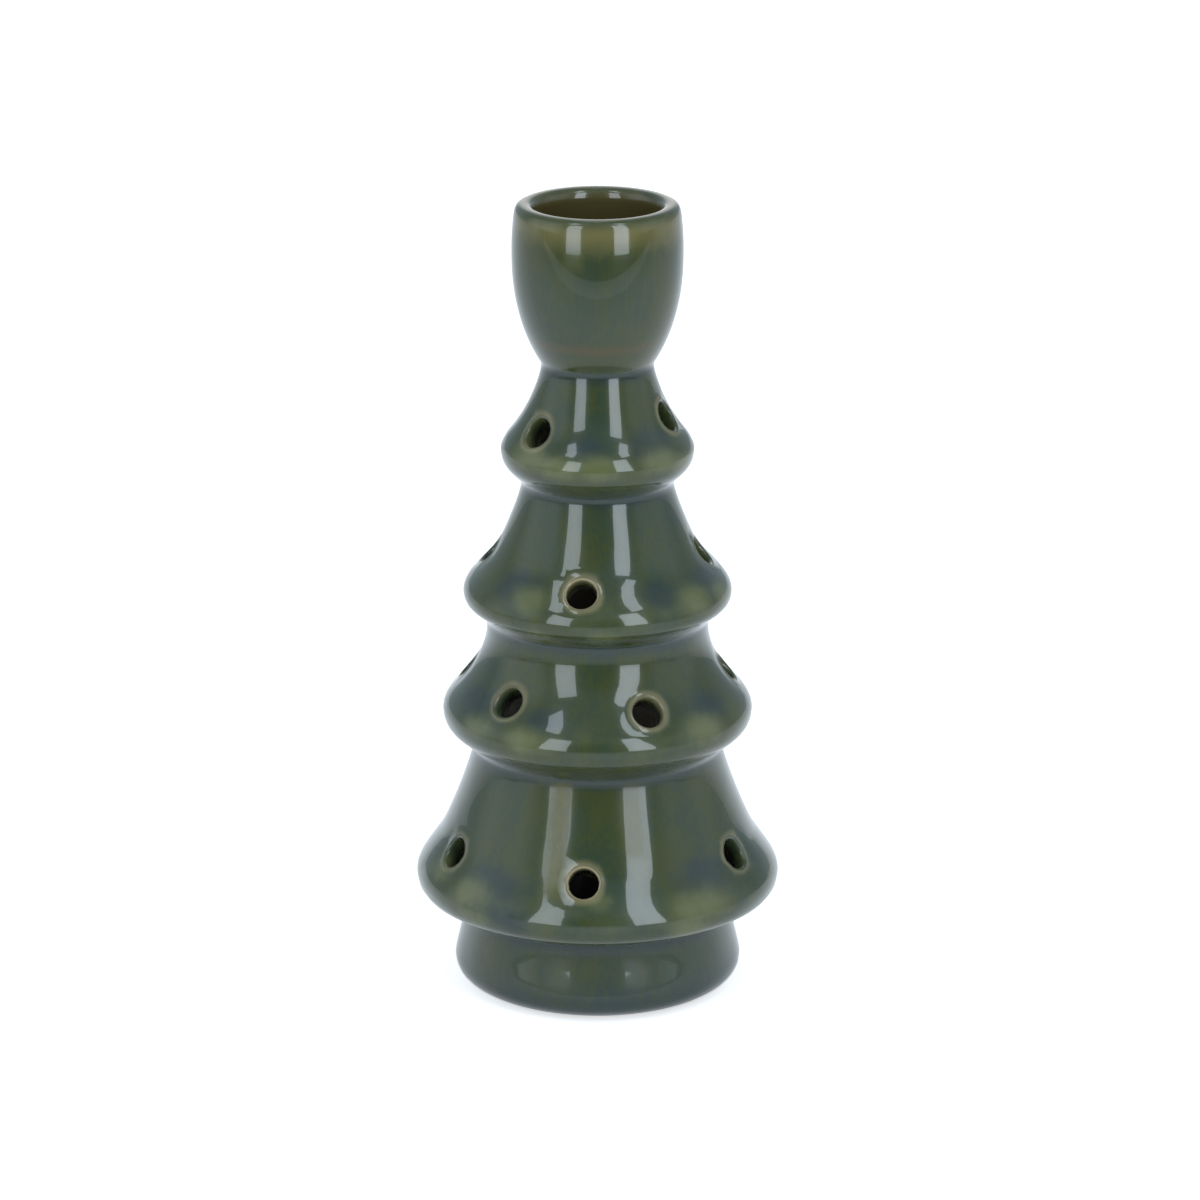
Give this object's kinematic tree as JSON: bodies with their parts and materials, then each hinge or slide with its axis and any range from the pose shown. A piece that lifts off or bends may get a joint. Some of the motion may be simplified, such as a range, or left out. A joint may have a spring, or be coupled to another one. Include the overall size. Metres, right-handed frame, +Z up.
{
  "type": "ceramic christmas tree candle holder",
  "caption": "Glazed ceramic tree with a candle cup on top, pierced tiers, and a battery light that plugs into its foot.",
  "frame": {"origin": "on the table under the middle of the foot", "axes": "+Z up, towards the candle cup; -Y is the front, with +X to its right"},
  "size_m": [0.068, 0.068, 0.15],
  "materials": {
    "green_glaze": "glossy translucent olive to blue-green glaze over tan clay, breaking to tan on edges",
    "black_plastic": "fine moulded texture",
    "grey_silicone": "matt",
    "white_plastic": "satin moulded",
    "zinc_steel": "zinc-plated",
    "cell_steel": "polished can",
    "nickel_contact": "nickel-plated",
    "brown_laminate": "phenolic laminate",
    "green_board": "solder mask",
    "warm_epoxy": "cast clear to warm yellow",
    "black_sleeve": "wire insulation",
    "red_sleeve": "wire insulation"
  },
  "bodies": {
    "tree": {"tree_body": "green_glaze"},
    "light_unit": {"battery_base": "black_plastic", "light_housing": "black_plastic", "grip_band": "grey_silicone", "housing_screw_1": "zinc_steel", "housing_screw_2": "zinc_steel", "battery_cell_1": "cell_steel", "battery_cell_2": "cell_steel", "battery_cell_3": "cell_steel", "contact_plate": "nickel_contact", "spring_plate": "nickel_contact", "contact_spring": "nickel_contact", "switch_shell": "zinc_steel", "switch_wafer": "brown_laminate", "switch_pin_1": "nickel_contact", "switch_pin_2": "nickel_contact", "switch_pin_3": "nickel_contact", "circuit_board": "green_board", "resistor": "black_sleeve", "led": "warm_epoxy", "led_lead_long": "nickel_contact", "led_lead_short": "nickel_contact", "wire_black": "black_sleeve", "wire_red": "red_sleeve"},
    "door": {"battery_door": "black_plastic"},
    "captive_screw": {"door_screw": "zinc_steel"},
    "knob": {"switch_knob": "white_plastic"}
  },
  "joints": [
    {"name": "light_unit_pull", "type": "slide", "parent": "tree", "child": "light_unit", "axis": [0, 0, -1], "range_m": [0, 0.032]},
    {"name": "door_swing", "type": "hinge", "parent": "light_unit", "child": "door", "pos_m": [-0.01225, 0, 0.0017], "axis": [0, 1, 0], "range_deg": [0, 95]},
    {"name": "door_screw_turn", "type": "hinge", "parent": "door", "child": "captive_screw", "pos_m": [0.012, 0, 0.001], "axis": [0, 0, 1], "continuous": true},
    {"name": "switch_slide", "type": "slide", "parent": "light_unit", "child": "knob", "axis": [1, 0, 0], "range_m": [0, 0.002]}
  ]
}
